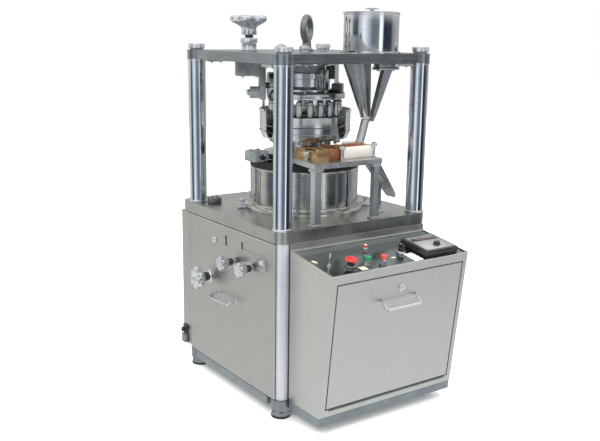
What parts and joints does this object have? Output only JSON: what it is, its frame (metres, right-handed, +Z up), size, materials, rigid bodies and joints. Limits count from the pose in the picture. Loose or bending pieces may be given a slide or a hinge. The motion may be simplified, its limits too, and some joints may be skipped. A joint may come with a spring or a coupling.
{
  "type": "rotary tablet press",
  "caption": "Four-pillar rotary tablet press with a punch turret, hopper and feed chute on top, a pressure roller with a handwheel, and a sloped control console with a hinged door.",
  "frame": {"origin": "middle of the footprint's bounding box, on the floor", "axes": "+Z up; -Y is the front, where the console stands; +X is the operator's right"},
  "size_m": [0.817, 1.0818, 1.574],
  "materials": {
    "base_plinth": "dark grey paint",
    "foot_front_left": "painted grey casting",
    "foot_front_right": "painted grey casting",
    "foot_rear_left": "painted grey casting",
    "foot_rear_right": "painted grey casting",
    "pillar_front_left": "polished bright",
    "pillar_front_right": "polished bright",
    "pillar_rear_left": "polished bright",
    "pillar_rear_right": "polished bright",
    "cap_nut_front_left": "polished bright",
    "cap_nut_front_right": "polished bright",
    "cap_nut_rear_left": "polished bright",
    "cap_nut_rear_right": "polished bright",
    "top_plate": "satin brushed stainless sheet",
    "deck_plate": "satin brushed stainless sheet",
    "left_panel": "satin brushed stainless sheet",
    "right_panel": "satin brushed stainless sheet",
    "rear_cover": "satin brushed stainless sheet",
    "cable_gland": "black moulded",
    "side_handle": "polished bright",
    "console_body": "satin brushed stainless sheet",
    "control_panel": "satin brushed stainless sheet",
    "speed_box": "black moulded",
    "pressure_boss": "polished bright",
    "eye_bolt": "satin brushed stainless sheet",
    "turret_skirt": "polished bright",
    "turret_guard": "satin brushed stainless sheet",
    "upper_cam": "painted grey casting",
    "lower_cam": "painted grey casting",
    "roller_bracket": "painted grey casting",
    "hopper": "polished bright",
    "feed_chute": "polished bright",
    "chute_arm": "satin brushed stainless sheet",
    "feed_box": "off-white",
    "feed_frame": "machined bronze",
    "feed_table": "satin brushed stainless sheet",
    "discharge_chute": "satin brushed stainless sheet",
    "gearbox": "painted grey casting",
    "motor": "painted grey casting",
    "drive_belt": "belt rubber",
    "turret": "satin brushed stainless sheet",
    "worm_pulley": "painted grey casting",
    "drive_handwheel": "polished bright",
    "motor_pulley": "painted grey casting",
    "pressure_roller": "polished bright",
    "lower_roller": "polished bright",
    "pressure_handwheel": "polished bright",
    "weight_knob": "polished bright",
    "thickness_knob": "polished bright",
    "console_door": "satin brushed stainless sheet",
    "door_handle": "polished bright",
    "door_lock": "polished bright",
    "side_lock": "polished bright",
    "hopper_lid": "polished bright",
    "e_stop": "red",
    "start_button": "green",
    "stop_button": "red",
    "selector_knob": "black moulded",
    "toggle_lever": "polished bright",
    "speed_knob": "black moulded"
  },
  "bodies": {
    "frame": {"base_plinth": "base_plinth", "foot_front_left": "foot_front_left", "foot_front_right": "foot_front_right", "foot_rear_left": "foot_rear_left", "foot_rear_right": "foot_rear_right", "pillar_front_left": "pillar_front_left", "pillar_front_right": "pillar_front_right", "pillar_rear_left": "pillar_rear_left", "pillar_rear_right": "pillar_rear_right", "cap_nut_front_left": "cap_nut_front_left", "cap_nut_front_right": "cap_nut_front_right", "cap_nut_rear_left": "cap_nut_rear_left", "cap_nut_rear_right": "cap_nut_rear_right", "top_plate": "top_plate", "deck_plate": "deck_plate", "left_panel": "left_panel", "right_panel": "right_panel", "rear_cover": "rear_cover", "cable_gland": "cable_gland", "side_handle": "side_handle", "console_body": "console_body", "control_panel": "control_panel", "speed_box": "speed_box", "pressure_boss": "pressure_boss", "eye_bolt": "eye_bolt", "turret_skirt": "turret_skirt", "turret_guard": "turret_guard", "upper_cam": "upper_cam", "lower_cam": "lower_cam", "roller_bracket": "roller_bracket", "hopper": "hopper", "feed_chute": "feed_chute", "chute_arm": "chute_arm", "feed_box": "feed_box", "feed_frame": "feed_frame", "feed_table": "feed_table", "discharge_chute": "discharge_chute", "gearbox": "gearbox", "motor": "motor", "drive_belt": "drive_belt"},
    "turret_body": {"turret": "turret"},
    "worm_shaft": {"worm_pulley": "worm_pulley", "drive_handwheel": "drive_handwheel"},
    "motor_rotor": {"motor_pulley": "motor_pulley"},
    "upper_roller_body": {"pressure_roller": "pressure_roller"},
    "lower_roller_body": {"lower_roller": "lower_roller"},
    "pressure_wheel_body": {"pressure_handwheel": "pressure_handwheel"},
    "weight_knob_body": {"weight_knob": "weight_knob"},
    "thickness_knob_body": {"thickness_knob": "thickness_knob"},
    "door": {"console_door": "console_door", "door_handle": "door_handle"},
    "door_cam": {"door_lock": "door_lock"},
    "side_cam": {"side_lock": "side_lock"},
    "lid": {"hopper_lid": "hopper_lid"},
    "e_stop_body": {"e_stop": "e_stop"},
    "start_body": {"start_button": "start_button"},
    "stop_body": {"stop_button": "stop_button"},
    "selector_body": {"selector_knob": "selector_knob"},
    "toggle_body": {"toggle_lever": "toggle_lever"},
    "dial_body": {"speed_knob": "speed_knob"}
  },
  "joints": [
    {"name": "turret_spin", "type": "hinge", "parent": "frame", "child": "turret_body", "pos_m": [0.037, 0.12611, 0.9], "axis": [0, 0, 1], "continuous": true},
    {"name": "worm_spin", "type": "hinge", "parent": "frame", "child": "worm_shaft", "pos_m": [0.037, 0.28611, 0.458], "axis": [1, 0, 0], "continuous": true},
    {"name": "motor_spin", "type": "hinge", "parent": "frame", "child": "motor_rotor", "pos_m": [0.237, 0.28611, 0.19], "axis": [1, 0, 0], "continuous": true},
    {"name": "upper_roller_spin", "type": "hinge", "parent": "frame", "child": "upper_roller_body", "pos_m": [-0.09117, 0.18724, 1.261], "axis": [-0.9026, 0.4305, 0], "continuous": true},
    {"name": "lower_roller_spin", "type": "hinge", "parent": "frame", "child": "lower_roller_body", "pos_m": [-0.09117, 0.18724, 0.807], "axis": [-0.9026, 0.4305, 0], "continuous": true},
    {"name": "pressure_wheel_turn", "type": "hinge", "parent": "frame", "child": "pressure_wheel_body", "pos_m": [-0.17511, 0.22728, 1.45], "axis": [0, 0, 1], "range_deg": [-720, 720]},
    {"name": "weight_knob_turn", "type": "hinge", "parent": "frame", "child": "weight_knob_body", "pos_m": [-0.3335, 0.08611, 0.568], "axis": [-1, 0, 0], "range_deg": [-1080, 1080]},
    {"name": "thickness_knob_turn", "type": "hinge", "parent": "frame", "child": "thickness_knob_body", "pos_m": [-0.3335, -0.05389, 0.573], "axis": [-1, 0, 0], "range_deg": [-1080, 1080]},
    {"name": "door_swing", "type": "hinge", "parent": "frame", "child": "door", "pos_m": [0.037, -0.44717, 0.10808], "axis": [1, 0, 0], "range_deg": [0, 80]},
    {"name": "door_lock_turn", "type": "hinge", "parent": "door", "child": "door_cam", "pos_m": [0.0526, -0.4978, 0.54717], "axis": [0, -0.9934, -0.1146], "range_deg": [0, 90]},
    {"name": "side_lock_turn", "type": "hinge", "parent": "frame", "child": "side_cam", "pos_m": [-0.3335, 0.24411, 0.626], "axis": [-1, 0, 0], "range_deg": [0, 90]},
    {"name": "lid_lift", "type": "slide", "parent": "frame", "child": "lid", "axis": [0, 0, 1], "range_m": [0, 0.15]},
    {"name": "e_stop_press", "type": "slide", "parent": "frame", "child": "e_stop_body", "axis": [0, 0.1461, -0.9893], "range_m": [0, 0.006]},
    {"name": "start_press", "type": "slide", "parent": "frame", "child": "start_body", "axis": [0, 0.1461, -0.9893], "range_m": [0, 0.004], "stiffness_N_per_m": 800, "springref_m": -0.003},
    {"name": "stop_press", "type": "slide", "parent": "frame", "child": "stop_body", "axis": [0, 0.1461, -0.9893], "range_m": [0, 0.004], "stiffness_N_per_m": 800, "springref_m": -0.003},
    {"name": "selector_turn", "type": "hinge", "parent": "frame", "child": "selector_body", "pos_m": [0.1205, -0.41101, 0.65035], "axis": [0, -0.1461, 0.9893], "range_deg": [-45, 45]},
    {"name": "toggle_tilt", "type": "hinge", "parent": "frame", "child": "toggle_body", "pos_m": [-0.2269, -0.41199, 0.65021], "axis": [1, 0, 0], "range_deg": [-20, 20]},
    {"name": "speed_dial_turn", "type": "hinge", "parent": "frame", "child": "dial_body", "pos_m": [0.269, -0.45071, 0.67279], "axis": [0, -0.1461, 0.9893], "range_deg": [0, 270]}
  ],
  "couplings": [
    {"joint": "worm_spin", "follows": "turret_spin", "ratio": 12},
    {"joint": "motor_spin", "follows": "turret_spin", "ratio": 24},
    {"joint": "upper_roller_spin", "follows": "turret_spin", "ratio": 2.5818},
    {"joint": "lower_roller_spin", "follows": "turret_spin", "ratio": -3.2273}
  ]
}
